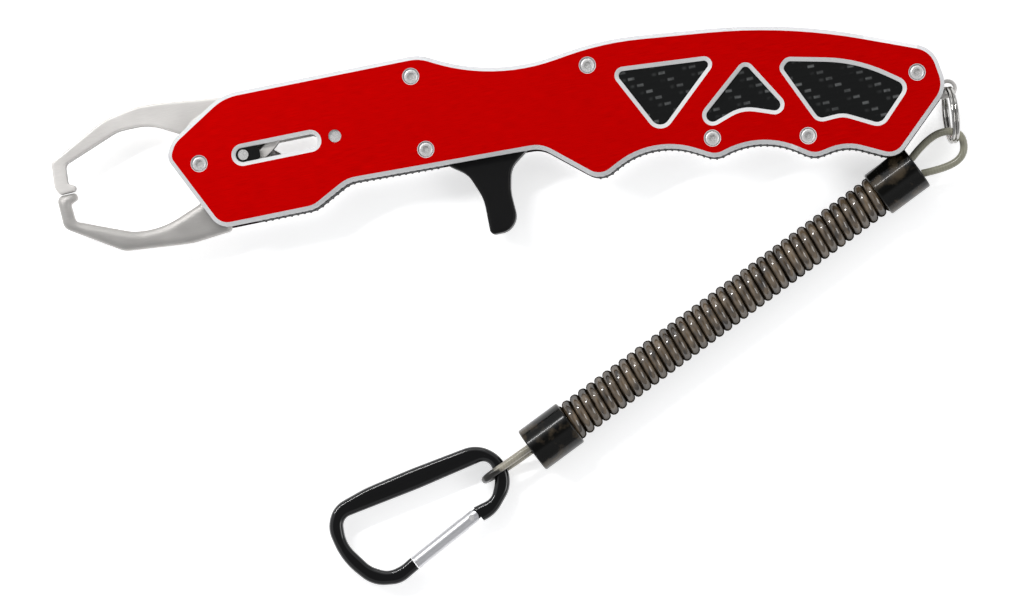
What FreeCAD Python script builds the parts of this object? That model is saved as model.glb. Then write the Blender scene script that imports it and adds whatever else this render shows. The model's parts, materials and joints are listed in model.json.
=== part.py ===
import FreeCAD, Part
import math
import os

# Fishing lip grip with a coiled lanyard and a snap hook, lying on its right side.
# Millimetres.  +Z points out of the left side plate, +X from the jaws to the tail,
# +Y towards the back of the handle, so the trigger points to -Y.
# Every XY value below is measured from the jaw pivot; save() moves it to the part's frame.

V = FreeCAD.Vector
UP = V(0, 0, 1)

# ---- frame ----------------------------------------------------------------------------
PIVOT_X = -78.65           # jaw pivot in the part's frame
PIVOT_Y = 7.85

# ---- thickness stack -------------------------------------------------------------------
THICK = 15.0               # whole handle
PLATE = 2.5                # one side plate
MID = THICK / 2
CHAMFER = 1.05             # bright bevel round every outer edge of a side plate
JAW_HALF = 2.5             # half the thickness of a jaw's arm
HUB_LOW = 1.3              # hub and tail of a jaw: from this far off the middle ...
HUB_HIGH = 4.7             # ... to this far off it
BAR_HALF = 1.0             # half the thickness of the draw bar
TRIGGER_HALF = 4.0

# ---- mechanism -------------------------------------------------------------------------
TRAVEL = 14.5              # pull of the trigger
JAW_TURN = math.radians(26)    # each jaw's turn over that pull
CAM_START = 11.6           # cross pin to jaw pivot, jaws shut
PIN_R = 1.35               # cross pin
CAM_HALF = 1.42            # half width of a jaw's cam slot
TAIL_HALF = 3.9            # half width of a jaw's tail round that slot
HUB_R = 5.6
LAP_R = 6.0                # arms keep this far from the pivot
BUSH_R = 2.5
GUIDE_X = 35.8             # fixed guide pin that the draw bar slides on
GUIDE_R = 1.6
PIN_END = 0.7              # cross pin and guide pin end this far below the plates' faces
SPACER_R = 4.6             # ring between the two jaw hubs
RIVETS = (67.0, 74.5)      # X of the rivets that hold the trigger on the draw bar
RIVET_R = 1.2
RUNNING = 0.06             # radial clearance of a sliding or turning fit
SNUG = 0.05                # gap round a part that is held still
GUIDE_SPARE = 0.4          # draw bar's slot runs on this far past the guide pin, both ways
BAR_END = 78.0             # draw bar: rear end, half width
BAR_WIDE = 4.2
JAW_EDGE = 0.45            # rounding of the upper jaw's and of the lower jaw's long edges
LOWER_JAW_EDGE = 1.0
SHOE_FRONT = 1.78          # guide shoe, ahead of and behind the cross pin, below the plate's face
SHOE_BACK = 4.3
SHOE_SUNK = 0.9

# ---- side plate outline, clockwise: corner x, corner y, corner radius ---------------------
PLATE_OUTLINE = [
    (-8.0, 3.0, 3.5), (-6.0, 7.0, 7), (9.2, 16.4, 14), (61.3, 16.3, 11), (79, 6.6, 49),
    (108.4, 10.8, 80), (155.6, 5.8, 150), (191.5, -8.4, 7), (193.1, -19.3, 7),
    (176.7, -34.7, 5), (164.6, -28.7, 12), (155.9, -30.2, 5.5), (143.5, -21.7, 21),
    (131.2, -25.4, 5.5), (116.1, -17.2, 21), (100.8, -25.0, 5.5), (87.3, -13.6, 7),
    (36.9, -12.35, 8), (27.1, -17.45, 7), (1.8, -17.45, 5)]

# ---- windows, at the outer edge of their bevels ---------------------------------------------
WINDOWS = {
    "front": [(108.0, 3.0, 2.3), (137.8, 0.8, 2.1), (118.1, -17.15, 3.5)],
    "middle": [(143.5, -1.3, 2.3), (154.4, -19.5, 2.55), (140.2, -14.4, 9), (119.7, -21.4, 2.7)],
    "rear": [(153.8, -3.2, 2.6), (171.8, -7.2, 40), (184.4, -16.4, 3.0), (174.6, -26.2, 3.4),
             (165.2, -21.25, 6), (158.4, -21.6, 3.0), (151.2, -5.6, 2.2)]}
INLAY = 1.2                # thickness of a window's inlay plate
SLOT_MID = 20.4            # guide slot in each side plate
SLOT_LENGTH = 21.5
SLOT_HALF = 1.825

# ---- fasteners ------------------------------------------------------------------------------
JOINTS = [(58.06, 11.18), (58.14, -8.09), (103.3, 4.9), (131.15, -20.0),
          (155.45, -24.3), (186.15, -13.85)]
SCREW_HEAD_R = 1.9
SCREW_HEAD = 1.15
SCREW_ROUND = 0.6
SCREW_SUNK = 0.15          # head's top below the plate's face
SCREW_TIP = 6.0            # screw's far end below the plate's face
SOCKET_R = 1.05            # hexagon socket, across its corners
SOCKET = 0.85
SCREW_R = 1.25
COUNTERBORE_R = 2.0
COUNTERBORE = 1.3
RIM = 0.2                  # bright bevel round a counterbore
STANDOFF_R = 2.2
STANDOFF_BORE = 1.3

# ---- handle filling -------------------------------------------------------------------------
CORE_INSET = 0.6
TAIL_RELIEF = -26.0        # below this line ...
TAIL_INSET = 1.8           # ... the core's tail lies this deep, clear of the lanyard's sleeve
CORE_FRONT = 99.0
STRIP_SUNK = 0.1           # the strips between their ribs: this far inside the plates' edge
STRIP_DEPTH = 1.9
RIB_R = 0.35
RIB_PITCH = 1.7
STRIP_END = 173.5
NOSE_STRIP = (11.4, 61.5)  # X range
BELLY_Y = -9.9             # the ribbed strips lie below this line
SPINE_FRONT = 31.0         # back strip: from this X, above SPINE_Y
SPINE_Y = 4.0
SPINE_DEPTH = 2.3
SPRING_Y = -1.5
SPRING_R = 2.8
SPRING_WIRE = 0.7
SPRING_END = 124.0
SPRING_BORE = 3.3          # radius of the core's bore round the spring
ROD_R = 1.5
ROD_LENGTH = 25.0
ROD_SEAT = 3.0             # rod's depth in the trigger
TRIGGER_FRONT = 62.5
TRIGGER_BACK = 84.0
TRIGGER_ROUND = 0.8

# ---- lanyard --------------------------------------------------------------------------------
LUG_FRONT = 179.0              # tail lug: its front end's centre, half height, half thickness, hole
LUG_HALF = 2.35
LUG_THIN = 1.0
LUG_HOLE = 1.45
EYE = V(193.2, -19.2, MID)     # tail eye, the lanyard turns here
RING_R = 6.9
RING_WIRE = 0.5
RING_TILT = 9.0                # degrees
RING_SWING = -5.0
RING_STEP = 0.95               # the ring's turns lie this many wire radii off its middle
CORD_R = 1.0
LANYARD_START = V(181.3, -37.25, 6.3)
LANYARD_TURN = 205.05          # direction of the coil, degrees from +X
CLIP_TURN = 201.8              # direction of the loop that holds the snap hook
CLIP_SIDE = -0.7               # that loop leaves its sleeve this far to the left of the axis
SLEEVE_R = 6.2
SLEEVE = 12.4
SLEEVE_BORE = 8.5
SLEEVE_ROUND = 0.5
COIL_R = 5.45
COIL_REACH = 111.2             # first sleeve's outer face to second sleeve's coil-side face
HOOK_Z = 4.4                   # mid-plane of the snap hook
HOOK_HALF = 1.9
GATE_PIVOT = V(50.6, -103.4, HOOK_Z)
GATE_TURN = 207.2              # direction of the shut gate, degrees from +X
GATE_LENGTH = 18.7             # pivot to tip
GATE_R = 1.85
GATE_BORE = 1.1
GATE_PIN_R = 0.75
TONGUE_HALF = 0.75             # hook's tongue in the gate's fork: half thickness, radius, length
TONGUE_R = 1.4
TONGUE = 3.2
FORK = 2.4                     # depth of the fork from the gate's pin
GATE_HOLLOW = (2.0, 16.0)      # the gate's bore, from its pin
PLUNGER = (2.6, 5.6)
SPRING_SPAN = (5.6, 16.0)
HOOK_ROUND = 1.2


# ---- helpers --------------------------------------------------------------------------------
def flat(point, z=0.0):
    return V(point[0], point[1], z)


def corner_path(corners):
    """Straight edges joined by tangent arcs; each corner is (x, y, radius), 0 for a sharp one."""
    count = len(corners)
    trims = []
    for i, (x, y, radius) in enumerate(corners):
        here = V(x, y, 0)
        back = (flat(corners[i - 1]) - here).normalize()
        ahead = (flat(corners[(i + 1) % count]) - here).normalize()
        half = back.getAngle(ahead) / 2
        reach = radius / math.tan(half)
        if radius == 0:
            trims.append((here, here, here))
            continue
        middle = here + (back + ahead).normalize() * (radius / math.sin(half) - radius)
        trims.append((here + back * reach, middle, here + ahead * reach))
    edges = []
    for i, (start, middle, end) in enumerate(trims):
        if start != end:
            edges.append(Part.Arc(start, middle, end).toShape())
        following = trims[(i + 1) % count][0]
        if end.distanceToPoint(following) > 1e-4:
            edges.append(Part.LineSegment(end, following).toShape())
    return Part.Wire(edges)


def grow(corners, amount):
    """The same outline moved outwards (clockwise corners), radii following."""
    count = len(corners)
    moved = []
    for i, (x, y, radius) in enumerate(corners):
        here = V(x, y, 0)
        inward = (here - flat(corners[i - 1])).normalize()
        outward = (flat(corners[(i + 1) % count]) - here).normalize()
        normal_in = V(-inward.y, inward.x, 0)
        normal_out = V(-outward.y, outward.x, 0)
        shift = (normal_in + normal_out) * (amount / (1 + normal_in.dot(normal_out)))
        convex = inward.x * outward.y - inward.y * outward.x < 0
        changed = radius + amount if convex else radius - amount
        moved.append((x + shift.x, y + shift.y, max(changed, 0.3)))
    return moved


def prism(corners, low, high):
    face = Part.Face(corner_path(corners))
    face.translate(V(0, 0, low))
    return face.extrude(V(0, 0, high - low))


def polygon(points, low, high):
    wire = Part.makePolygon([V(x, y, low) for x, y in points] + [V(*points[0], low)])
    return Part.Face(wire).extrude(V(0, 0, high - low))


def post(x, y, radius, low, high):
    return Part.makeCylinder(radius, high - low, V(x, y, low), UP)


def block(x_low, x_high, y_low, y_high, low=0.0, high=THICK):
    return Part.makeBox(x_high - x_low, y_high - y_low, high - low, V(x_low, y_low, low))


def rod(x, y, z, radius, length):
    """A cylinder along +X from (x, y, z)."""
    return Part.makeCylinder(radius, length, V(x, y, z), V(1, 0, 0))


def tube(x, y, outer, inner, low, high):
    return post(x, y, outer, low, high).cut(post(x, y, inner, low - 1, high + 1))


def stadium(x_low, x_high, y, half, low, high):
    """A round-ended bar along X; x_low and x_high are its end centres."""
    bar = Part.makeBox(x_high - x_low, 2 * half, high - low, V(x_low, y - half, low))
    return bar.fuse([post(x_low, y, half, low, high), post(x_high, y, half, low, high)]).removeSplitter()


def other_side(shape):
    """Mirror image in the grip's middle plane."""
    return shape.mirror(V(0, 0, MID), UP)


def edges_at(shape, z):
    return [e for e in shape.Edges if abs(e.BoundBox.ZMin - z) < 1e-6 and abs(e.BoundBox.ZMax - z) < 1e-6]


def polar(distance, angle, base=V(0, 0, 0)):
    return base + V(distance * math.cos(angle), distance * math.sin(angle), 0)


def save(node, shape):
    placed = shape.copy()
    placed.translate(V(PIVOT_X, PIVOT_Y, 0))
    placed.exportStep("parts/" + node + ".step")
    box = placed.BoundBox
    print("%-20s solids %d valid %s z %.2f..%.2f volume %.1f"
          % (node, len(placed.Solids), placed.isValid(), box.ZMin, box.ZMax, placed.Volume))


# ---- side plates, inlays --------------------------------------------------------------------
def side_plate():
    plate = prism(PLATE_OUTLINE, THICK - PLATE, THICK)
    for window in WINDOWS.values():
        plate = plate.cut(prism(grow(window, -CHAMFER), THICK - PLATE - 1, THICK + 1))
    reach = SLOT_LENGTH / 2 - SLOT_HALF
    plate = plate.cut(stadium(SLOT_MID - reach, SLOT_MID + reach, 0, SLOT_HALF,
                              THICK - PLATE - 1, THICK + 1))
    plate = plate.makeChamfer(CHAMFER, edges_at(plate, THICK))
    for x, y in [(0, 0)] + JOINTS:
        plate = plate.cut(post(x, y, COUNTERBORE_R, THICK - COUNTERBORE, THICK + 1))
        plate = plate.cut(Part.makeCone(COUNTERBORE_R, COUNTERBORE_R + RIM, RIM, V(x, y, THICK - RIM), UP))
        plate = plate.cut(post(x, y, SCREW_R + 3 * SNUG, THICK - PLATE - 1, THICK))
    return plate.cut(post(GUIDE_X, 0, GUIDE_R + RUNNING, THICK - PLATE - 1, THICK + 1))


def inlay(window):
    return prism(grow(window, -CHAMFER - SNUG), THICK - PLATE, THICK - PLATE + INLAY)


# ---- fasteners ------------------------------------------------------------------------------
def screw(x, y):
    top = THICK - SCREW_SUNK
    head = post(x, y, SCREW_HEAD_R, top - SCREW_HEAD, top)
    head = head.makeFillet(SCREW_ROUND, edges_at(head, top))
    corners = [polar(SOCKET_R, math.radians(turn), V(x, y, 0)) for turn in range(0, 360, 60)]
    head = head.cut(polygon([(c.x, c.y) for c in corners], top - SOCKET, top + 1))
    return head.fuse(post(x, y, SCREW_R, THICK - SCREW_TIP, top - SCREW_HEAD))


# ---- handle filling -------------------------------------------------------------------------
def lower_band(x_low, x_high):
    """The plates' lower edge band between two X values, as a ribbed strip."""
    edge = grow(PLATE_OUTLINE, -STRIP_SUNK)
    zone = block(x_low, x_high, -40, BELLY_Y)
    band = prism(edge, PLATE, THICK - PLATE).cut(prism(grow(PLATE_OUTLINE, -STRIP_DEPTH), 0, THICK))
    band = band.common(zone)
    ribs = []
    for point in corner_path(edge).discretize(Distance=RIB_PITCH):
        if point.y < BELLY_Y - RIB_R and x_low + RIB_R < point.x < x_high - RIB_R:
            ribs.append(post(point.x, point.y, RIB_R, PLATE, THICK - PLATE))
    return band.fuse(ribs)


def spine_strip():
    band = prism(grow(PLATE_OUTLINE, -CORE_INSET), PLATE, THICK - PLATE)
    band = band.cut(prism(grow(PLATE_OUTLINE, -CORE_INSET - SPINE_DEPTH), 0, THICK))
    return band.common(block(SPINE_FRONT, CORE_FRONT, SPINE_Y, 20))


def handle_core():
    core = prism(grow(PLATE_OUTLINE, -CORE_INSET), PLATE, THICK - PLATE)
    core = core.common(block(CORE_FRONT, 200, -40, 20))
    corner = block(STRIP_END, 200, -40, TAIL_RELIEF)
    core = core.cut(corner.cut(prism(grow(PLATE_OUTLINE, -TAIL_INSET), 0, THICK)))
    zone = block(CORE_FRONT - 1, STRIP_END, -40, BELLY_Y)
    core = core.cut(zone.cut(prism(grow(PLATE_OUTLINE, -STRIP_DEPTH), 0, THICK)))
    for x, y in JOINTS[2:]:
        core = core.cut(post(x, y, STANDOFF_R + SNUG, 0, THICK))
    bore = rod(CORE_FRONT - 1, SPRING_Y, MID, SPRING_BORE, SPRING_END - CORE_FRONT + 1)
    return core.cut(bore).cut(eye_lug(0.03))


def eye_lug(gap=0.0):
    """Steel lug held in the core's tail; gap makes the pocket for it."""
    half = LUG_THIN + gap
    lug = stadium(LUG_FRONT, EYE.x, EYE.y, LUG_HALF + gap, MID - half, MID + half)
    hole = post(EYE.x, EYE.y, LUG_HOLE, 0, THICK)
    return lug if gap else lug.cut(hole)


# ---- jaws -----------------------------------------------------------------------------------
def cam_band(half, side):
    """Band of half-width `half` along the cam spiral, whose angle grows evenly with radius."""
    rate = JAW_TURN / TRAVEL
    steps = 24
    left = []
    right = []
    for i in range(steps + 1):
        pull = TRAVEL * i / steps
        radius = CAM_START + pull
        angle = rate * pull
        centre = polar(radius, angle)
        along = V(math.cos(angle) - radius * rate * math.sin(angle),
                  math.sin(angle) + radius * rate * math.cos(angle), 0).normalize()
        across = V(-along.y, along.x, 0) * half
        left.append(centre + across)
        right.append(centre - across)
        if i == 0:
            start_cap = centre - along * half
        end_cap = centre + along * half
    upper = Part.BSplineCurve()
    upper.interpolate(left)
    lower = Part.BSplineCurve()
    lower.interpolate(right[::-1])
    wire = Part.Wire([upper.toShape(), Part.Arc(left[-1], end_cap, right[-1]).toShape(),
                      lower.toShape(), Part.Arc(right[0], start_cap, left[0]).toShape()])
    if side < 0:
        wire = wire.mirror(V(0, 0, 0), V(0, 1, 0))
    return Part.Face(wire)


def slab(face, low, high):
    placed = face.copy()
    placed.translate(V(0, 0, low))
    return placed.extrude(V(0, 0, high - low))


UPPER_ARM = [
    (2.0, 7.4, 0.4), (2.8, 12.2, 1.0), (9.4, 15.2, 0.3), (9.0, 15.95, 0.3), (-12.4, 18.3, 30),
    (-22.6, 16.3, 18), (-37.9, 8.2, 1.6), (-38.3, 1.6, 3), (-37.4, -0.45, 1.0),
    (-33.4, -0.25, 0.7), (-32.6, 0.9, 0.9),
    (-34.8, 2.1, 0.6), (-34.5, 6.9, 1.6), (-19.4, 12.8, 10), (-11.2, 12.9, 14), (-3.6, 8.8, 12),
    (-0.6, 6.2, 1.0)]
UPPER_WEB = [(-4.6, 3.2), (-4.0, 7.2), (0.0, 11.2), (8.0, 14.9), (16.0, 14.0), (15.0, 3.5), (4.0, -3.9)]
LOWER_ARM = [
    (-38.3, -0.75, 1.6), (-37.9, -9.2, 2.5), (-23.8, -18.0, 6), (-6.0, -19.5, 24),
    (4.6, -18.4, 1.0), (5.0, -14.0, 2), (2.0, -7.4, 0.4), (-0.6, -6.2, 1.0), (-1.2, -9.6, 3),
    (-13.4, -14.4, 22), (-20.6, -13.6, 10), (-34.7, -8.0, 1.4), (-35.1, -3.3, 0.8),
    (-33.0, -2.4, 0.8), (-33.2, -0.7, 0.7)]
LOWER_WEB = [(-3.2, -4.6), (-1.2, -9.4), (2.2, -14.6), (12.0, -14.4), (16.0, -13.4), (15.0, -3.5),
             (4.0, 3.9)]


def soften(solid, radius, keep):
    """Fillet the long top and bottom edges whose middles satisfy keep()."""
    chosen = [e for z in (MID - JAW_HALF, MID + JAW_HALF) for e in edges_at(solid, z)
              if keep(e.CenterOfMass)]
    return solid.makeFillet(radius, chosen)


def jaw(arm_corners, web, side, rounding, rounded):
    low = MID + side * HUB_LOW
    high = MID + side * HUB_HIGH
    low, high = min(low, high), max(low, high)
    arm = prism(arm_corners, MID - JAW_HALF, MID + JAW_HALF)
    arm = soften(arm, rounding, rounded)
    arm = arm.cut(post(0, 0, LAP_R, 0, THICK))
    hub = post(0, 0, HUB_R, low, high)
    web_solid = polygon(web, low, high)
    tail = slab(cam_band(TAIL_HALF, side), low, high)
    solid = arm.fuse([hub, web_solid, tail])
    solid = solid.cut(post(0, 0, BUSH_R + RUNNING, 0, THICK))
    return solid.cut(slab(cam_band(CAM_HALF, side), 0, THICK)).removeSplitter()


# ---- draw bar, trigger, spring -----------------------------------------------------------------
BAR_SHAPE = [(8, -3.4, 3.2), (8, 3.4, 3.2), (15, BAR_WIDE, 3), (BAR_END, BAR_WIDE, 1),
             (BAR_END, -BAR_WIDE, 1), (15, -BAR_WIDE, 3)]


def draw_bar():
    bar = prism(BAR_SHAPE, MID - BAR_HALF, MID + BAR_HALF)
    bar = bar.cut(stadium(GUIDE_X - TRAVEL - GUIDE_SPARE, GUIDE_X + GUIDE_SPARE, 0,
                          GUIDE_R + RUNNING, 0, THICK))
    for x in RIVETS:
        bar = bar.cut(post(x, 0, RIVET_R, 0, THICK))
    return bar.cut(post(CAM_START, 0, PIN_R, 0, THICK))


TRIGGER_SHAPE = [
    (TRIGGER_FRONT, 4.6, 1.0), (TRIGGER_BACK, 4.6, 1.0), (TRIGGER_BACK, -12.9, 1.6),
    (78.6, -16.8, 6), (77.3, -22.8, 12), (77.8, -32.9, 4.6), (70.1, -32.9, 1.3),
    (70.2, -23.5, 12), (67.4, -16.4, 7), (TRIGGER_FRONT, -12.9, 2.0)]


def trigger():
    body = prism(TRIGGER_SHAPE, MID - TRIGGER_HALF, MID + TRIGGER_HALF)
    rims = [e for z in (MID - TRIGGER_HALF, MID + TRIGGER_HALF) for e in edges_at(body, z)]
    body = body.makeFillet(TRIGGER_ROUND, rims)
    half = BAR_WIDE + SNUG
    body = body.cut(block(TRIGGER_FRONT - 1, BAR_END + SNUG, -half, half, MID - BAR_HALF, MID + BAR_HALF))
    for x in RIVETS:
        body = body.cut(post(x, 0, RIVET_R, 0, THICK))
    return body.cut(rod(TRIGGER_BACK - ROD_SEAT, SPRING_Y, MID, ROD_R, ROD_SEAT + 1))


def guide_shoe():
    """Block on the cross pin that slides in a side plate's slot."""
    base = THICK - PLATE + 0.1
    half = SLOT_HALF - RUNNING
    front = CAM_START - SHOE_FRONT
    back = CAM_START + SHOE_BACK
    shoe = prism([(front, -half, 1.7), (front, half, 1.7), (back, half, 1), (back, -half, 1)],
                 base, THICK - SHOE_SUNK)
    return shoe.cut(post(CAM_START, 0, PIN_R, 0, THICK))


def spring():
    length = SPRING_END - TRIGGER_BACK
    hollow = rod(TRIGGER_BACK - 1, SPRING_Y, MID, SPRING_R - SPRING_WIRE, length + 2)
    return rod(TRIGGER_BACK, SPRING_Y, MID, SPRING_R, length).cut(hollow)


# ---- lanyard --------------------------------------------------------------------------------
def along_lanyard(distance, offset=0.0, z=None):
    """Point on the lanyard's axis, offset to its left, at height z."""
    turn = math.radians(LANYARD_TURN)
    point = polar(distance, turn, LANYARD_START) + V(-math.sin(turn), math.cos(turn), 0) * offset
    if z is not None:
        point.z = z
    return point


def cord_tube(points, radius):
    """Tube along straight runs joined by tangent arcs as large as the runs allow."""
    edges = []
    start = points[0]
    radii = []
    for i in range(1, len(points) - 1):
        here = points[i]
        back = points[i - 1] - here
        ahead = points[i + 1] - here
        reach = 0.45 * min(back.Length, ahead.Length)
        back.normalize()
        ahead.normalize()
        half = back.getAngle(ahead) / 2
        bend = reach * math.tan(half)
        middle = here + (back + ahead).normalize() * (bend / math.sin(half) - bend)
        edges.append(Part.LineSegment(start, here + back * reach).toShape())
        edges.append(Part.Arc(here + back * reach, middle, here + ahead * reach).toShape())
        start = here + ahead * reach
        radii.append(bend)
    edges.append(Part.LineSegment(start, points[-1]).toShape())
    path = Part.Wire(edges)
    ring = Part.Wire(Part.makeCircle(radius, points[0], points[1] - points[0]))
    solid = path.makePipeShell([ring], True, False)
    print("cord radii", [round(r, 1) for r in radii], "length %.1f" % path.Length,
          "volume ratio %.4f" % (solid.Volume / (math.pi * radius ** 2 * path.Length)))
    return solid


def split_ring():
    """Two turns of round wire side by side, threaded through the tail eye."""
    ring = None
    for shift in (-RING_STEP * RING_WIRE, RING_STEP * RING_WIRE):
        turn = Part.makeTorus(RING_R, RING_WIRE, V(EYE.x + shift, EYE.y - RING_R, MID), V(1, 0, 0))
        ring = turn if ring is None else ring.fuse(turn)
    ring.rotate(EYE, V(0, 1, 0), RING_TILT)
    ring.rotate(EYE, UP, RING_SWING)
    return ring


def sleeve(face_distance, toward):
    """Moulded end sleeve; its blind bore, open towards the coil, holds the coil's end."""
    face = along_lanyard(face_distance)
    turn = math.radians(LANYARD_TURN)
    axis = V(math.cos(turn), math.sin(turn), 0) * toward
    body = Part.makeCylinder(SLEEVE_R, SLEEVE, face, axis)
    body = body.makeFillet(SLEEVE_ROUND, [e for e in body.Edges if isinstance(e.Curve, Part.Circle)])
    bore_base = face + axis * (SLEEVE - SLEEVE_BORE)
    return body.cut(Part.makeCylinder(COIL_R + SNUG, SLEEVE_BORE + 1, bore_base, axis))


def coil():
    start = along_lanyard(SLEEVE - SLEEVE_BORE)
    run = along_lanyard(COIL_REACH + SLEEVE_BORE) - start
    return Part.makeCylinder(COIL_R, run.Length, start, run)


TAIL_LOOP = [
    along_lanyard(0, -2.3), V(184.1, -31.8, 6.4), V(189.7, -29.5, 7.2), V(194.6, -31.2, 7.4),
    V(194.2, -36.9, 7.0), V(189.0, -39.3, 6.2), along_lanyard(0, 2.3)]
# (distance from the sleeve, offset to the left, height) round the bar of the snap hook
CLIP_LOOP = [(0, -0.3, 7.5), (3.5, -0.2, 7.7), (8.2, 0, 8.1), (13.2, 0.1, 7.9), (14.5, 0.3, 4.6),
             (13.2, 0.5, 1.1), (8.0, 0.6, 1.1), (3.6, 0.6, 3.2), (0, 0.5, 5.2)]


def clip_route():
    face = along_lanyard(COIL_REACH + SLEEVE, CLIP_SIDE, 0)
    turn = math.radians(CLIP_TURN)
    left = V(-math.sin(turn), math.cos(turn), 0)
    return [polar(d, turn, face) + left * side + V(0, 0, z) for d, side, z in CLIP_LOOP]


# ---- snap hook --------------------------------------------------------------------------------
HOOK_GATE_END = [(53.6, -104.8, 0), (51.6, -100.9, 0)]      # bar's end face at the gate's pivot
HOOK_NOSE_END = [(33.0, -110.4, 0), (34.6, -113.7, 0)]      # and the one at the gate's tip
HOOK_OUTLINE = [
    (25.0, -90.5, 40), (37.5, -87.95, 90), (55.8, -84.9, 8.5), (62.9, -90.6, 9), (61.9, -98.0, 8),
    (56.8, -103.9, 9), *HOOK_GATE_END, (56.6, -99.6, 3.5), (58.9, -94.2, 7), (57.6, -89.3, 2.4),
    (38.8, -93.3, 100), (17.6, -97.0, 2.8), (17.4, -103.6, 9), (22.4, -110.6, 7),
    (26.6, -112.9, 5), (30.3, -112.0, 8), *HOOK_NOSE_END, (29.4, -116.6, 7), (22.0, -115.7, 9),
    (15.4, -107.9, 20), (13.4, -98.9, 8), (16.0, -93.4, 7)]


def gate_frame(shape):
    """Turn and move a shape made along +X from the origin onto the shut gate."""
    placed = shape.copy()
    placed.rotate(V(0, 0, 0), UP, GATE_TURN)
    placed.translate(GATE_PIVOT)
    return placed


def hook_body():
    body = prism(HOOK_OUTLINE, HOOK_Z - HOOK_HALF, HOOK_Z + HOOK_HALF)
    rims = [e for z in (HOOK_Z - HOOK_HALF, HOOK_Z + HOOK_HALF) for e in edges_at(body, z)]
    body = soften_rims(body, rims)
    tongue = Part.makeBox(TONGUE, 2 * TONGUE_R, 2 * TONGUE_HALF, V(-TONGUE, -TONGUE_R, -TONGUE_HALF))
    tongue = tongue.fuse(Part.makeCylinder(TONGUE_R, 2 * TONGUE_HALF, V(0, 0, -TONGUE_HALF), UP))
    body = body.fuse(gate_frame(tongue))
    return body.cut(post(GATE_PIVOT.x, GATE_PIVOT.y, GATE_PIN_R + SNUG, 0, THICK))


def soften_rims(body, rims):
    """Round the bar's long edges, leaving its two end faces sharp."""
    ends = [flat(corner) for corner in HOOK_GATE_END + HOOK_NOSE_END]
    kept = [e for e in rims
            if sum(1 for v in e.Vertexes for p in ends if flat(v.Point).distanceToPoint(p) < 1e-3) < 2]
    return body.makeFillet(HOOK_ROUND, kept)


def hook_gate():
    gate = rod(0, 0, 0, GATE_R, GATE_LENGTH)
    back = rod(-GATE_R, 0, 0, GATE_R, GATE_R)
    back = back.common(Part.makeCylinder(GATE_R, 2 * GATE_R, V(0, 0, -GATE_R), UP))
    gate = gate.fuse(back).removeSplitter()
    half = TONGUE_HALF + RUNNING
    gate = gate.cut(Part.makeBox(2 * FORK, 4 * GATE_R, 2 * half, V(-FORK, -2 * GATE_R, -half)))
    gate = gate.cut(rod(GATE_HOLLOW[0], 0, 0, GATE_BORE, GATE_HOLLOW[1] - GATE_HOLLOW[0]))
    gate = gate.cut(Part.makeCylinder(GATE_PIN_R, 4 * GATE_R, V(0, 0, -2 * GATE_R), UP))
    return gate_frame(gate)


def gate_inside():
    """Plunger and spring in the hollow gate, pressing on the hook's tongue."""
    plunger = rod(PLUNGER[0], 0, 0, GATE_BORE - SNUG, PLUNGER[1] - PLUNGER[0])
    start, end = SPRING_SPAN
    coils = rod(start, 0, 0, GATE_BORE - 2 * SNUG, end - start)
    coils = coils.cut(rod(start - 1, 0, 0, GATE_BORE - 0.4, end - start + 2))
    return gate_frame(plunger), gate_frame(coils)


def main():
    os.makedirs("parts", exist_ok=True)
    left = side_plate()
    save("left_side_plate", left)
    save("right_side_plate", other_side(left))
    for place, window in WINDOWS.items():
        cover = inlay(window)
        save("left_inlay_" + place, cover)
        save("right_inlay_" + place, other_side(cover))
    screws = Part.makeCompound([screw(x, y) for x, y in [(0, 0)] + JOINTS])
    save("left_screws", screws)
    save("right_screws", other_side(screws))
    save("standoffs", Part.makeCompound(
        [tube(x, y, STANDOFF_R, STANDOFF_BORE, PLATE, THICK - PLATE) for x, y in JOINTS]))
    save("pivot_bush", tube(0, 0, BUSH_R, STANDOFF_BORE, PLATE, THICK - PLATE))
    save("pivot_spacer", tube(0, 0, SPACER_R, BUSH_R + 0.05, MID - HUB_LOW + 0.05, MID + HUB_LOW - 0.05))
    save("handle_core", handle_core())
    save("finger_strip", lower_band(CORE_FRONT, STRIP_END))
    save("nose_strip", lower_band(*NOSE_STRIP))
    save("spine_strip", spine_strip())
    save("guide_pin", post(GUIDE_X, 0, GUIDE_R, PIN_END, THICK - PIN_END))
    save("tail_eye", eye_lug())
    save("upper_jaw", jaw(UPPER_ARM, UPPER_WEB, 1, JAW_EDGE, lambda p: p.x < 2 and flat(p).Length > 14))
    save("lower_jaw", jaw(LOWER_ARM, LOWER_WEB, -1, LOWER_JAW_EDGE, lambda p: p.y < -14.8))
    save("draw_bar", draw_bar())
    save("trigger", trigger())
    save("trigger_rivets", Part.makeCompound(
        [post(x, 0, RIVET_R, MID - TRIGGER_HALF, MID + TRIGGER_HALF) for x in RIVETS]))
    save("cross_pin", post(CAM_START, 0, PIN_R, PIN_END, THICK - PIN_END))
    shoe = guide_shoe()
    save("guide_shoes", Part.makeCompound([shoe, other_side(shoe)]))
    save("spring_rod", rod(TRIGGER_BACK - ROD_SEAT, SPRING_Y, MID, ROD_R, ROD_LENGTH))
    save("return_spring", spring())
    save("split_ring", split_ring())
    save("tail_loop", cord_tube(TAIL_LOOP, CORD_R))
    save("sleeve_tail", sleeve(0, 1))
    save("coil", coil())
    save("sleeve_hook", sleeve(COIL_REACH + SLEEVE, -1))
    save("clip_loop", cord_tube(clip_route(), CORD_R))
    save("hook_body", hook_body())
    save("hook_gate", hook_gate())
    pin_half = GATE_R - 0.1
    save("gate_pin", post(GATE_PIVOT.x, GATE_PIVOT.y, GATE_PIN_R, HOOK_Z - pin_half, HOOK_Z + pin_half))
    plunger, coils = gate_inside()
    save("gate_plunger", plunger)
    save("gate_spring", coils)


main()
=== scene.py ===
import json
import math

import bpy
from mathutils import Matrix, Vector


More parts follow.
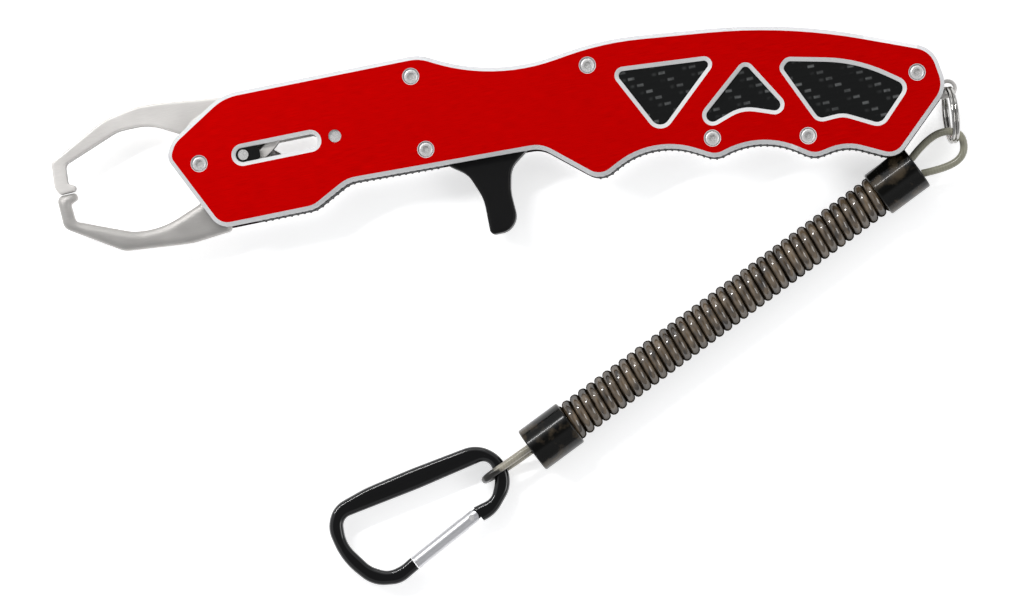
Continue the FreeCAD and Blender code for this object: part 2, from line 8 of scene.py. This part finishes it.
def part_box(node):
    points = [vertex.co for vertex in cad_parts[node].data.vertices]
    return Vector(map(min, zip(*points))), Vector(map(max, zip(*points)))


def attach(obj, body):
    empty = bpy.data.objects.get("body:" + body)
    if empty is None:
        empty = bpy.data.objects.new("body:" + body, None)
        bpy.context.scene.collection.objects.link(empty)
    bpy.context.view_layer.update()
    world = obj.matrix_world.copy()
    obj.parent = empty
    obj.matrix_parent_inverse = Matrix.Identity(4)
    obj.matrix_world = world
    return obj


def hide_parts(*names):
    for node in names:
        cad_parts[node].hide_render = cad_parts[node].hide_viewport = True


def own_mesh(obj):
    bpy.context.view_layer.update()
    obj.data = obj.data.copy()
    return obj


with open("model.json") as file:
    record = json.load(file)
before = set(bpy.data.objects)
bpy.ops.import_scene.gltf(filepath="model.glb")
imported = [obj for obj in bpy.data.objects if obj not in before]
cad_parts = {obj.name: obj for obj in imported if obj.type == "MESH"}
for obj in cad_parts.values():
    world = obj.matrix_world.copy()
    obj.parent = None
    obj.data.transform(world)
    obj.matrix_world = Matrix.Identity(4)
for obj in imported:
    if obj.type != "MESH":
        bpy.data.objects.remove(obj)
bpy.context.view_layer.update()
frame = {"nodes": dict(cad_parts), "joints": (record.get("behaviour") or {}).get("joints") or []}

# Looks of a fishing lip grip with a coiled lanyard.  Metres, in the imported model's own frame:
# +X from the jaws to the tail, +Y towards the back of the handle, +Z out of the left plate.
MM = 0.001
NODES = frame["nodes"]
JOINTS = {joint["name"]: joint for joint in frame["joints"]}
TRAVEL = JOINTS["trigger_pull"]["range_m"][1]
UP = Vector((0, 0, 1))


def middle(node):
    low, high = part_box(node)
    return (low + high) / 2


PIVOT = middle("pivot_bush")
PIVOT.z = 0


def at(x, y, z=0.0):
    """Millimetres from the jaw pivot, and from the floor, to a point of the frame."""
    return PIVOT + Vector((x, y, z)) * MM


def heading(turn):
    """Level direction, turned from +X."""
    return Vector((math.cos(turn), math.sin(turn), 0))


def add_object(name, data):
    thing = bpy.data.objects.new(name, data)
    bpy.context.scene.collection.objects.link(thing)
    return thing


# ---- floor, camera, light -----------------------------------------------------------------
VIEW_TURN = math.radians(-11.42)    # the picture's right-hand side, turned from +X
VIEW_CENTRE = at(71.8, -51.8, 9)
VIEW_WIDTH = 264.6 * MM
LEAN_RIGHT = math.radians(2.1)      # camera off the vertical, towards the picture's right side
LEAN_DOWN = math.radians(1.6)       # and towards its lower side
LENS = 300.0
SENSOR = 36.0
NEAREST = 0.01                      # nothing nearer to the camera than this is drawn
FLOOR_HALF = 3.0
FLOOR_GAP = 0.2 * MM                # floor this far below the parts, so that no faces coincide
KEY_TURN = math.radians(24.5)       # the key light's long side lies roughly along the lanyard
LIGHT_TIP = 0.01                    # a light's own up direction, tipped this much off the level
TOWARDS_LIGHT = (-0.55, 0.83, 0.0)  # the picture's upper left


def aim(thing, place, target, upward):
    """Turn a camera or light at `place` to look at `target`, `upward` being up in its view."""
    back = (place - target).normalized()
    right = upward.cross(back).normalized()
    turned = Matrix((right, back.cross(right), back)).transposed().to_4x4()
    thing.matrix_world = Matrix.Translation(place) @ turned


def make_camera():
    data = bpy.data.cameras.new("camera")
    data.lens = LENS
    data.sensor_width = SENSOR
    data.clip_start = NEAREST
    camera = add_object("camera", data)
    right = heading(VIEW_TURN)
    up = UP.cross(right)
    away = VIEW_WIDTH * LENS / SENSOR
    tilted = UP + right * math.tan(LEAN_RIGHT) - up * math.tan(LEAN_DOWN)
    place = VIEW_CENTRE + tilted.normalized() * away
    aim(camera, place, VIEW_CENTRE, up)
    bpy.context.scene.camera = camera


def area_light(name, place, size, power, along=0.0):
    """Soft light aimed at the middle of the view, its long side turned `along` from +X."""
    data = bpy.data.lights.new(name, "AREA")
    data.shape = "RECTANGLE"
    data.size, data.size_y = size
    data.energy = power
    lamp = add_object(name, data)
    aim(lamp, place, VIEW_CENTRE, UP.cross(heading(along)) + UP * LIGHT_TIP)


def make_studio():
    mesh = bpy.data.meshes.new("floor")
    corners = [(x * FLOOR_HALF, y * FLOOR_HALF, 0) for x, y in ((-1, -1), (1, -1), (1, 1), (-1, 1))]
    mesh.from_pydata(corners, [], [(0, 1, 2, 3)])
    floor = add_object("floor", mesh)
    floor.location.z = -FLOOR_GAP
    floor.data.materials.append(MATERIALS["floor"])
    make_sky()
    bpy.context.scene.view_settings.view_transform = "Standard"
    area_light("key_strip", at(-330, 468, 760), (0.6, 0.05), 3.9, KEY_TURN)
    area_light("back_fill", at(150, 800, 560), (0.8, 0.3), 0.8)
    area_light("right_fill", at(700, -250, 640), (0.4, 0.5), 1.4)


def map_range(tree, value, start, end, low, high):
    """Node output: value from start..end mapped to low..high, and held there beyond the ends."""
    node = tree.nodes.new("ShaderNodeMapRange")
    for name, number in (("From Min", start), ("From Max", end), ("To Min", low), ("To Max", high)):
        node.inputs[name].default_value = number
    tree.links.new(value, node.inputs["Value"])
    return node.outputs["Result"]


def make_sky():
    """Pale surround, brighter towards the picture's upper left, with a dark patch overhead."""
    world = bpy.data.worlds.new("studio")
    world.use_nodes = True
    tree = world.node_tree
    coords = tree.nodes.new("ShaderNodeTexCoord")
    parts = tree.nodes.new("ShaderNodeSeparateXYZ")
    tree.links.new(coords.outputs["Generated"], parts.inputs[0])
    patch = map_range(tree, parts.outputs[2], 0.90, 0.97, 1.0, 0.25)
    facing = tree.nodes.new("ShaderNodeVectorMath")
    facing.operation = "DOT_PRODUCT"
    facing.inputs[1].default_value = TOWARDS_LIGHT
    tree.links.new(coords.outputs["Generated"], facing.inputs[0])
    slope = map_range(tree, facing.outputs["Value"], -1.0, 1.0, 0.36, 0.62)
    level = tree.nodes.new("ShaderNodeMath")
    level.operation = "MULTIPLY"
    tree.links.new(patch, level.inputs[0])
    tree.links.new(slope, level.inputs[1])
    backdrop = tree.nodes["Background"]
    backdrop.inputs["Color"].default_value = (0.97, 0.98, 1.0, 1)
    tree.links.new(level.outputs[0], backdrop.inputs["Strength"])
    bpy.context.scene.world = world


# ---- node materials -----------------------------------------------------------------------
class Nodes:
    """Small helper that adds linked shader nodes to one material."""

    def __init__(self, name):
        self.material = bpy.data.materials.new(name)
        self.material.use_nodes = True
        self.tree = self.material.node_tree
        self.shader = self.tree.nodes["Principled BSDF"]

    def add(self, kind, inputs=(), **settings):
        node = self.tree.nodes.new(kind)
        for key, value in settings.items():
            setattr(node, key, value)
        for key, value in dict(inputs).items():
            self.feed(node.inputs[key], value)
        return node

    def feed(self, socket, value):
        if isinstance(value, bpy.types.NodeSocket):
            self.tree.links.new(value, socket)
        else:
            socket.default_value = value

    def set(self, **values):
        """Values or node outputs for the shader's own sockets, by name."""
        for key, value in values.items():
            name = key.replace("_", " ")
            socket = next(s for s in self.shader.inputs if s.name.lower() == name)
            self.feed(socket, value)

    def place(self, turn=0.0, stretch=(1, 1, 1)):
        """Object coordinates, turned about Z and stretched."""
        coords = self.add("ShaderNodeTexCoord").outputs["Object"]
        mapped = self.add("ShaderNodeMapping", {0: coords})
        mapped.inputs["Rotation"].default_value = (0, 0, turn)
        mapped.inputs["Scale"].default_value = stretch
        return mapped.outputs[0]

    def noise(self, where, scale, detail=3.0, rough=0.5):
        node = self.add("ShaderNodeTexNoise", {"Vector": where, "Scale": scale, "Detail": detail,
                                               "Roughness": rough})
        return node.outputs["Fac"]

    def ramp(self, value, low, high, start=0.0, end=1.0):
        """Value from start..end mapped to low..high, and held there beyond the ends."""
        return map_range(self.tree, value, start, end, low, high)

    def maths(self, operation, first, second=0.5):
        return self.add("ShaderNodeMath", {0: first, 1: second}, operation=operation).outputs[0]

    def product(self, first, second):
        return self.maths("MULTIPLY", first, second)

    def total(self, first, second):
        return self.maths("ADD", first, second)

    def mix(self, factor, first, second):
        node = self.add("ShaderNodeMix", {"Factor": factor}, data_type="RGBA")
        self.feed(node.inputs[6], first)
        self.feed(node.inputs[7], second)
        return node.outputs[2]

    def bump(self, height, strength, distance, over=None):
        """Fine relief; `over` is the relief it lies on."""
        node = self.add("ShaderNodeBump", {"Height": height, "Strength": strength, "Distance": distance})
        if over is not None:
            self.feed(node.inputs["Normal"], over)
        self.set(normal=node.outputs[0])
        return node.outputs[0]


def rgb(red, green, blue):
    return (red, green, blue, 1)


def scaled(colour, share):
    """The same colour, darker or brighter."""
    return rgb(*[channel * share for channel in colour])


def red_anodised():
    m = Nodes("red_anodised")
    grain = m.noise(m.place(0, (40, 900, 900)), 6, 4, 0.6)
    mottle = m.noise(m.place(), 60, 2)
    speck = m.noise(m.place(), 5200, 1)
    tone = m.product(m.ramp(grain, 0.9, 1.1, 0.3, 0.7), m.ramp(mottle, 0.96, 1.04))
    colour = m.mix(m.ramp(tone, 0, 1, 0.8, 1.2), rgb(0.68, 0.0, 0.0), rgb(0.86, 0.0, 0.0))
    m.set(base_color=colour, metallic=0.9, roughness=m.ramp(grain, 0.42, 0.52, 0.3, 0.7),
          specular_ior_level=0.1)
    m.bump(m.total(grain, m.product(speck, 0.4)), 0.08, 0.00008)
    return m.material


def brushed(name, colour, turn, low, high, depth, metallic):
    """Metal with fine parallel grain along the direction `turn`; low..high is its roughness."""
    m = Nodes(name)
    grain = m.noise(m.place(-turn, (60, 1500, 1500)), 5, 5, 0.65)
    cloud = m.noise(m.place(), 90, 2)
    tone = m.product(m.ramp(grain, 0.9, 1.06, 0.3, 0.7), m.ramp(cloud, 0.96, 1.03))
    m.set(base_color=m.mix(m.ramp(tone, 0, 1, 0.84, 1.1), scaled(colour, 0.8), rgb(*colour)),
          metallic=metallic, roughness=m.ramp(m.total(grain, cloud), low, high, 0.7, 1.3))
    m.bump(grain, depth, 0.00006)
    return m.material


STEEL_DARK = (0.76, 0.735, 0.705)
STEEL_LIGHT = (1.0, 0.968, 0.93)


def jaw_steel(name, rounding, metallic, painted_light_level):
    """Satin stainless, finished by hand: fine grain, slightly uneven faces, softened edges. Its last
    argument lightens or darkens the colour, making lit and shaded copies of one steel: painted light and
    shade.
    """
    m = Nodes(name)
    grain = m.noise(m.place(0, (60, 1500, 1500)), 5, 5, 0.65)
    cloud = m.noise(m.place(), 90, 2)
    uneven = m.noise(m.place(0, (1, 1.6, 1)), 46, 1, 0.4)
    tone = m.product(m.ramp(grain, 0.94, 1.04, 0.3, 0.7), m.ramp(cloud, 0.92, 1.05, 0.3, 0.7))
    colour = m.mix(m.ramp(tone, 0, 1, 0.86, 1.08), scaled(STEEL_DARK, painted_light_level),
                   scaled(STEEL_LIGHT, painted_light_level))
    m.set(base_color=colour, metallic=metallic,
          roughness=m.ramp(m.total(grain, cloud), 0.36, 0.46, 0.7, 1.3))
    soft = m.add("ShaderNodeBevel", {"Radius": rounding}, samples=8).outputs[0]
    broad = m.bump(uneven, 1.0, 0.0003, soft)
    m.bump(grain, 0.14, 0.00006, broad)
    return m.material


def turned(name, colour, low, high, metallic=1.0):
    """Turned or cast bright metal, with tiny all-over marks; low..high is its roughness."""
    m = Nodes(name)
    marks = m.noise(m.place(), 1500, 3, 0.5)
    cloud = m.noise(m.place(), 220, 2)
    m.set(base_color=m.mix(cloud, scaled(colour, 0.86), rgb(*colour)), metallic=metallic,
          roughness=m.ramp(marks, low, high, 0.3, 0.7))
    m.bump(marks, 0.04, 0.00003)
    return m.material


def moulded(name, colour, low, high, grain_size, depth, coat=0.0, shine=0.5):
    """Moulded plastic or rubber with a fine grained surface; low..high is its roughness."""
    m = Nodes(name)
    grain = m.noise(m.place(), grain_size, 3, 0.6)
    cloud = m.noise(m.place(), 70, 3)
    m.set(base_color=m.mix(m.ramp(cloud, 0, 1, 0.35, 0.7), rgb(*colour), scaled(colour, 1.5)),
          roughness=m.ramp(grain, low, high, 0.3, 0.7), coat_weight=coat, coat_roughness=0.05,
          specular_ior_level=shine)
    m.bump(grain, depth, 0.00005)
    return m.material


TOWS = 500.0                        # tows per metre, both ways
TWILL = 4.0                         # the weave repeats after this many tows
FAR_TOWS = 4000.0                   # whole number of repeats that keeps the tow count positive


def carbon():
    """Twill carbon weave under clear resin: bright floats of the lengthwise tows, stepping sideways."""
    m = Nodes("carbon")
    weave = m.add("ShaderNodeSeparateXYZ", {0: m.place(0, (TOWS, TOWS, 1))})
    along, across = weave.outputs[0], weave.outputs[1]
    tow_count = m.total(m.total(m.maths("FLOOR", along), m.maths("FLOOR", across)), FAR_TOWS)
    step = m.maths("MODULO", tow_count, TWILL)
    off_x = m.maths("ABSOLUTE", m.maths("SUBTRACT", m.maths("FRACT", along), 0.5))
    off_y = m.maths("ABSOLUTE", m.maths("SUBTRACT", m.maths("FRACT", across), 0.5))
    fibre = m.noise(m.place(0, (TOWS * 0.5, TOWS * 9, 1)), 1.0, 2)
    patchy = m.noise(m.place(), 420, 2)
    long_dash = m.product(m.ramp(off_x, 1, 0, 0.36, 0.47), m.ramp(off_y, 1, 0, 0.10, 0.24))
    short_dash = m.product(m.ramp(off_x, 1, 0, 0.1, 0.4), m.ramp(off_y, 1, 0, 0.05, 0.3))
    float_here = m.maths("LESS_THAN", step, 0.5)
    dip_here = m.maths("GREATER_THAN", step, 2.5)
    uneven = m.product(m.ramp(fibre, 0.5, 1.0, 0.3, 0.6), m.ramp(patchy, 0.45, 1.0, 0.4, 0.6))
    bright = m.product(m.product(float_here, long_dash), uneven)
    faint = m.product(m.product(dip_here, short_dash), m.ramp(patchy, 0.0, 0.3, 0.4, 0.7))
    colour = m.mix(m.total(bright, faint), rgb(0.0035, 0.004, 0.004), rgb(0.13, 0.135, 0.135))
    m.set(base_color=colour, roughness=0.5, specular_ior_level=0.15, coat_weight=0.25,
          coat_roughness=0.06)
    m.bump(m.total(long_dash, fibre), 0.15, 0.0001)
    return m.material


def smoky(name, colour, depth_colour, clear, rough, marks, patches):
    """Smoky translucent plastic: patches of one colour showing through the other."""
    m = Nodes(name)
    cloud = m.noise(m.place(), marks, 3, 0.55)
    m.set(base_color=m.mix(m.ramp(cloud, 0, 1, *patches), rgb(*depth_colour), rgb(*colour)),
          roughness=m.ramp(cloud, rough, rough * 1.6, 0.3, 0.7), transmission_weight=clear, ior=1.4,
          specular_ior_level=0.35, coat_weight=0.3, coat_roughness=0.04, coat_ior=1.35)
    m.bump(cloud, 0.05, 0.00006)
    return m.material


def smoked_strand():
    """Smoky clear plastic strand of the coil: its own brown on the top, painted shade (near black) on its
    sides and underside, wet shine held to the top.
    """
    m = Nodes("coil_plastic")
    cloud = m.noise(m.place(), 340, 2, 0.5)
    streak = m.noise(m.place(math.radians(-25), (900, 130, 300)), 1.0, 2)
    normal = m.add("ShaderNodeNewGeometry").outputs["Normal"]
    upward = m.add("ShaderNodeSeparateXYZ", {0: normal}).outputs[2]
    body = m.mix(m.ramp(m.total(cloud, streak), 0, 1, 0.75, 1.3), rgb(0.03, 0.021, 0.013),
                 rgb(0.2, 0.145, 0.09))
    shine = m.ramp(upward, 0, 1, 0.3, 0.8)
    # painted shade: the strand goes near black where its normal turns from up, standing in for the shade
    # on its sides and underside
    m.set(base_color=m.mix(m.ramp(upward, 1, 0, 0.1, 0.75), body, rgb(0.006, 0.005, 0.004)),
          roughness=0.13, specular_ior_level=m.product(shine, 0.7), coat_weight=shine,
          coat_roughness=0.05, coat_ior=1.6)
    m.bump(cloud, 0.05, 0.00006)
    return m.material


WORN_END = at(55.9, -94.3, 4)       # the dark far end of the snap hook's loop lies round this point
WORN_REACH = (0.0062, 0.0078)       # dark inside the first distance, gone at the second


def cord_sheath(name, dark, light, worn=False):
    """Vinyl-coated cord with a fine braid; `worn` darkens it round WORN_END."""
    m = Nodes(name)
    where = m.place()
    wave = m.add("ShaderNodeTexWave", {"Vector": where, "Scale": 420.0, "Distortion": 1.5, "Detail": 2.0})
    cloud = m.noise(m.place(), 300, 3)
    tone = m.product(m.ramp(wave.outputs["Fac"], 0.8, 1.0), m.ramp(cloud, 0.85, 1.1))
    colour = m.mix(tone, rgb(*dark), rgb(*light))
    if worn:
        away = m.add("ShaderNodeVectorMath", {0: where, 1: tuple(WORN_END)}, operation="DISTANCE")
        patchy = m.total(away.outputs["Value"], m.ramp(cloud, -0.0015, 0.0015, 0.3, 0.7))
        colour = m.mix(m.ramp(patchy, 1, 0, *WORN_REACH), colour, rgb(0.012, 0.01, 0.008))
    m.set(base_color=colour, roughness=0.3, coat_weight=0.4, coat_roughness=0.08)
    m.bump(wave.outputs["Fac"], 0.2, 0.00006)
    return m.material


def pale_floor():
    m = Nodes("floor")
    m.set(base_color=rgb(0.92, 0.92, 0.92), roughness=0.9, specular_ior_level=0.1,
          emission_color=rgb(1, 1, 1), emission_strength=0.55)
    return m.material


GATE_GRAIN = math.radians(27)
MATERIALS = {
    "floor": pale_floor(),
    "red": red_anodised(),
    "bevel": brushed("bright_bevel", (0.86, 0.86, 0.87), 0.0, 0.24, 0.34, 0.05, 0.15),
    # painted highlight: the openings' bevels get a whiter, non-metal copy of the bevel colour, standing
    # in for the light they catch
    "window_bevel": brushed("window_bevel_painted_highlight", (1.0, 1.0, 1.0), 0.0, 0.24, 0.34, 0.05, 0.0),
    # painted shade: the plates' inner faces get near black in place of their red, standing in for the
    # shade between the plates
    "inside": moulded("inner_face_painted_shade", (0.02, 0.004, 0.004), 0.5, 0.6, 2600, 0.1),
    "carbon": carbon(),
    "screw": turned("bright_steel", (0.93, 0.92, 0.91), 0.22, 0.32, 0.45),
    # painted light and shade: one steel in lit and shaded copies; the upper jaw, tail eye and draw bar
    # get the lighter one, the lower jaw a darker one
    "jaw": jaw_steel("jaw_steel", 0.0008, 0.3, 0.95),
    "jaw_round": jaw_steel("jaw_steel_rounded_painted_shade", 0.0026, 0.6, 0.6),
    # painted shade: a still darker copy for the upper jaw's edge faces, standing in for the shade on its
    # side walls
    "jaw_side": jaw_steel("jaw_steel_painted_shade", 0.0002, 0.6, 0.3),
    "black": moulded("black_plastic", (0.004, 0.004, 0.0042), 0.36, 0.46, 2600, 0.12, 0.0, 0.2),
    "rib": moulded("ribbed_rubber", (0.008, 0.008, 0.008), 0.6, 0.8, 3200, 0.3),
    "wire": turned("chrome_wire", (0.5, 0.49, 0.47), 0.08, 0.14),
    "gloss": moulded("black_gloss", (0.003, 0.003, 0.0032), 0.07, 0.13, 900, 0.03, 0.5),
    "sleeve": smoky("sleeve_plastic", (0.06, 0.045, 0.028), (0.0025, 0.0025, 0.002), 0.05, 0.16, 190,
                    (0.5, 0.64)),
    "coil": smoked_strand(),
    "cord": cord_sheath("cord_sheath", (0.11, 0.105, 0.072), (0.32, 0.31, 0.235)),
    "cord_pale": cord_sheath("cord_sheath_pale", (0.12, 0.105, 0.075), (0.42, 0.39, 0.31), True),
    "gate": brushed("gate_aluminium", (0.78, 0.78, 0.8), GATE_GRAIN, 0.3, 0.42, 0.08, 0.7)}

WINDOWS = ("front", "middle", "rear")
NODE_MATERIALS = {
    "screw": ["left_screws", "right_screws", "standoffs", "pivot_bush", "pivot_spacer", "guide_pin",
              "cross_pin", "trigger_rivets", "spring_rod", "gate_pin", "gate_plunger", "gate_spring"],
    "jaw": ["tail_eye", "draw_bar"],
    "jaw_round": ["lower_jaw"],
    "black": ["handle_core", "spine_strip", "trigger", "guide_shoes"],
    "rib": ["finger_strip", "nose_strip"],
    "carbon": [side + "_inlay_" + window for side in ("left", "right") for window in WINDOWS],
    "sleeve": ["sleeve_tail", "sleeve_hook"],
    "gloss": ["hook_body"]}
RIM = 2.5 * MM                      # a bevel this near to an inlay or the guide slot is an opening's
FLAT = 0.95                         # a normal with more Z than this is on one of the big flat faces
UPRIGHT = 0.3                       # and one with less than this on an edge face
GATE_TURN = math.radians(207.2)     # from the gate's pivot to its free end
GATE_END = 0.9                      # a normal with more of that direction is on the gate's end


def dress(node, *names):
    """Give a node these materials, in this order."""
    mesh = NODES[node].data
    mesh.materials.clear()
    for name in names:
        mesh.materials.append(MATERIALS[name])


def dress_faces(node, names, pick):
    """Materials `names` on a node; pick(face) is the number of the one that a face has."""
    dress(node, *names)
    for face in NODES[node].data.polygons:
        face.material_index = pick(face)


def dress_plate(side, outward):
    """Red outer face, bright bevels (the openings' a lighter copy, a painted highlight), and near-black
    painted shade on the inner face.
    """
    node = side + "_side_plate"
    shoe_low, shoe_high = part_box("guide_shoes")
    openings = [(shoe_low, shoe_high + Vector((TRAVEL, 0, 0)))]
    openings += [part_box(side + "_inlay_" + window) for window in WINDOWS]

    def by_opening(spot):
        return any(low.x - RIM < spot.x < high.x + RIM and low.y - RIM < spot.y < high.y + RIM
                   for low, high in openings)

    def pick(face):
        lean = face.normal.z * outward
        if lean > FLAT:
            return 0
        if lean < -FLAT:
            return 2
        # bevels round the openings take the painted-highlight copy
        return 3 if by_opening(NODES[node].matrix_world @ face.center) else 1

    dress_faces(node, ("red", "bevel", "inside", "window_bevel"), pick)


def dress_nodes():
    for name, nodes in NODE_MATERIALS.items():
        for node in nodes:
            dress(node, name)
    dress_plate("left", 1)
    dress_plate("right", -1)
    # the upper jaw's edge faces get the painted-shade copy of its steel
    dress_faces("upper_jaw", ("jaw", "jaw_side"), lambda face: int(abs(face.normal.z) < UPRIGHT))
    tip = heading(GATE_TURN)
    dress_faces("hook_gate", ("gate", "gloss"), lambda face: int(face.normal.dot(tip) > GATE_END))


# ---- lanyard ------------------------------------------------------------------------------
LANYARD_TURN = math.radians(205.05)
CLIP_TURN = math.radians(201.8)
CLIP_SIDE = -0.7
LANYARD_START = (181.3, -37.25, 6.3)
SLEEVE = 12.4
COIL_REACH = 111.2
CORD_D = 2.0
COIL_START = 3.9
COIL_END = 119.7
COIL_R = 5.45
STRAND = 2.5
TURNS = 43.5
COIL_STEPS = 24                     # points per turn


def along_lanyard(distance, offset=0.0):
    """Point on the lanyard's axis, in millimetres from its start, offset to its left."""
    ahead = heading(LANYARD_TURN)
    left = UP.cross(ahead)
    return at(*LANYARD_START) + (ahead * distance + left * offset) * MM


def clip_point(distance, side, height):
    """Point of the snap hook's cord loop: distance from its sleeve, offset, height above the floor."""
    ahead = heading(CLIP_TURN)
    left = UP.cross(ahead)
    point = along_lanyard(COIL_REACH + SLEEVE, CLIP_SIDE) + (ahead * distance + left * side) * MM
    point.z = height * MM
    return point


TAIL_ROUTE = [along_lanyard(0, -2.3), at(184.1, -31.8, 6.4), at(189.7, -29.5, 7.2),
              at(194.6, -31.2, 7.4), at(194.2, -36.9, 7.0), at(189.0, -39.3, 6.2),
              along_lanyard(0, 2.3)]
CLIP_ROUTE = [clip_point(0, -0.3, 7.5), clip_point(3.5, -0.2, 7.7), clip_point(8.2, 0, 8.1),
              clip_point(13.2, 0.1, 7.9), clip_point(14.5, 0.3, 4.6), clip_point(13.2, 0.5, 1.1),
              clip_point(8.0, 0.6, 1.1), clip_point(3.6, 0.6, 3.2), clip_point(0, 0.5, 5.2)]
COIL_ROUTE = [along_lanyard(COIL_START), along_lanyard((COIL_START + COIL_END) / 2),
              along_lanyard(COIL_END)]


def smooth_route(name, points, thick=0.0, rings=6):
    """A NURBS curve with these control points; with a thickness it is a round cord."""
    data = bpy.data.curves.new(name, "CURVE")
    data.dimensions = "3D"
    data.resolution_u = 12
    spline = data.splines.new("NURBS")
    spline.points.add(len(points) - 1)
    for knot, point in zip(spline.points, points):
        knot.co = (*point, 1)
    spline.order_u = 3
    spline.use_endpoint_u = True
    data.bevel_depth = thick / 2
    data.bevel_resolution = rings
    data.use_fill_caps = True
    return add_object(name, data)


def route_points(points):
    """Points along the smooth curve that has these control points."""
    guide = smooth_route("guide", points)
    bpy.context.view_layer.update()
    line = bpy.data.meshes.new_from_object(guide)
    places = [v.co.copy() for v in line.vertices]
    bpy.data.objects.remove(guide)
    bpy.data.meshes.remove(line)
    return places


def length_of(places):
    return sum((b - a).length for a, b in zip(places, places[1:]))


def walk(places, distance):
    """Point and direction at a distance along a line of points."""
    for a, b in zip(places, places[1:]):
        step = (b - a).length
        if distance <= step:
            return a + (b - a) * (distance / step), (b - a).normalized()
        distance -= step
    return places[-1], (places[-1] - places[-2]).normalized()


def make_loop(name, points, node, sheath):
    piece = smooth_route(name, points, CORD_D * MM, 8)
    piece.data.materials.append(MATERIALS[sheath])
    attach(piece, "lanyard")
    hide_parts(node)
    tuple(points[0])
    length_of(route_points(points))


def make_coil():
    """One strand wound round the lanyard's axis from sleeve to sleeve."""
    axis = route_points(COIL_ROUTE)
    reach = length_of(axis)
    radius = (COIL_R - STRAND / 2) * MM
    inset = STRAND / 2 * MM
    count = int(TURNS * COIL_STEPS)
    helix = []
    for i in range(count + 1):
        share = i / count
        place, ahead = walk(axis, inset + share * (reach - 2 * inset))
        out = ahead.cross(UP).normalized()
        angle = 2 * math.pi * TURNS * share
        helix.append(place + out * (radius * math.cos(angle)) + UP * (radius * math.sin(angle)))
    piece = smooth_route("coil_cord", helix, STRAND * MM, 5)
    piece.data.resolution_u = 1
    piece.data.materials.append(MATERIALS["coil"])
    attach(piece, "lanyard")
    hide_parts("coil")
    length_of(route_points(helix))


# ---- split ring ---------------------------------------------------------------------------
RING_WIRE = 0.5 * MM                # radius of the wire
RING_TILT = math.radians(9)         # ring's plane, off the vertical
RING_TURN = math.radians(-5)
RING_TURNS = 1.96
RING_START = 2.4                    # angle where the wire starts, radians
RING_STEPS = 96                     # points per turn
CROSSING = 0.9                      # turn where the wire begins to cross to the other side
CROSSING_SPAN = 0.16


def make_split_ring():
    """Two turns of polished wire side by side, with the step where one turn becomes the other."""
    low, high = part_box("split_ring")
    radius = (high.z - low.z) / 2 / math.cos(RING_TILT) - RING_WIRE
    centre = middle("split_ring")
    apart = 0.95 * RING_WIRE        # each turn's middle, from the ring's own
    points = []
    for i in range(int(RING_STEPS * RING_TURNS)):
        turn = i / RING_STEPS
        angle = 2 * math.pi * turn + RING_START
        crossed = min(max((turn - CROSSING) / CROSSING_SPAN, 0), 1)
        side = apart * (2 * crossed - 1)
        points.append(Vector((side, radius * math.sin(angle), radius * math.cos(angle))))
    lean = Matrix.Rotation(RING_TURN, 3, "Z") @ Matrix.Rotation(RING_TILT, 3, "Y")
    piece = smooth_route("split_ring_wire", [centre + lean @ p for p in points], 2 * RING_WIRE, 5)
    piece.data.resolution_u = 1
    piece.data.materials.append(MATERIALS["wire"])
    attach(piece, "lanyard")
    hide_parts("split_ring")


# ---- return spring ------------------------------------------------------------------------
SPRING_WIRE = 0.7 * MM              # diameter of the wire
SPRING_TURNS = 17                   # with one closed turn at each end
SPRING_STEPS = 16                   # points per turn


def spring_points(low, high):
    """Helix along X that fills the box low..high."""
    radius = (high.z - low.z) / 2 - SPRING_WIRE / 2
    centre = (low + high) / 2
    points = []
    for i in range(SPRING_TURNS * SPRING_STEPS + 1):
        turn = i / SPRING_STEPS
        closed = min(turn, 1) + max(turn - SPRING_TURNS + 1, 0)
        opened = min(max((turn - 1) / (SPRING_TURNS - 2), 0), 1)
        x = low.x + SPRING_WIRE * (0.5 + closed) + (high.x - low.x - 3 * SPRING_WIRE) * opened
        angle = 2 * math.pi * turn
        points.append(Vector((x, centre.y + radius * math.cos(angle),
                              centre.z + radius * math.sin(angle))))
    return points


def make_return_spring():
    """Steel spring on its rod, carried with the draw body."""
    low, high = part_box("return_spring")
    curve = smooth_route("return_spring_wire", spring_points(low, high), SPRING_WIRE, 3)
    curve.data.resolution_u = 1
    bpy.context.view_layer.update()
    mesh = bpy.data.meshes.new_from_object(curve)
    bpy.data.objects.remove(curve)
    piece = add_object("return_spring_coil", mesh)
    for face in mesh.polygons:
        face.use_smooth = True
    mesh.materials.clear()
    mesh.materials.append(MATERIALS["screw"])
    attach(piece, "draw")
    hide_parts("return_spring")
    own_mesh(piece)


make_camera()
make_studio()
make_loop("tail_loop_cord", TAIL_ROUTE, "tail_loop", "cord")
make_loop("clip_loop_cord", CLIP_ROUTE, "clip_loop", "cord_pale")
make_coil()
dress_nodes()
make_split_ring()
make_return_spring()
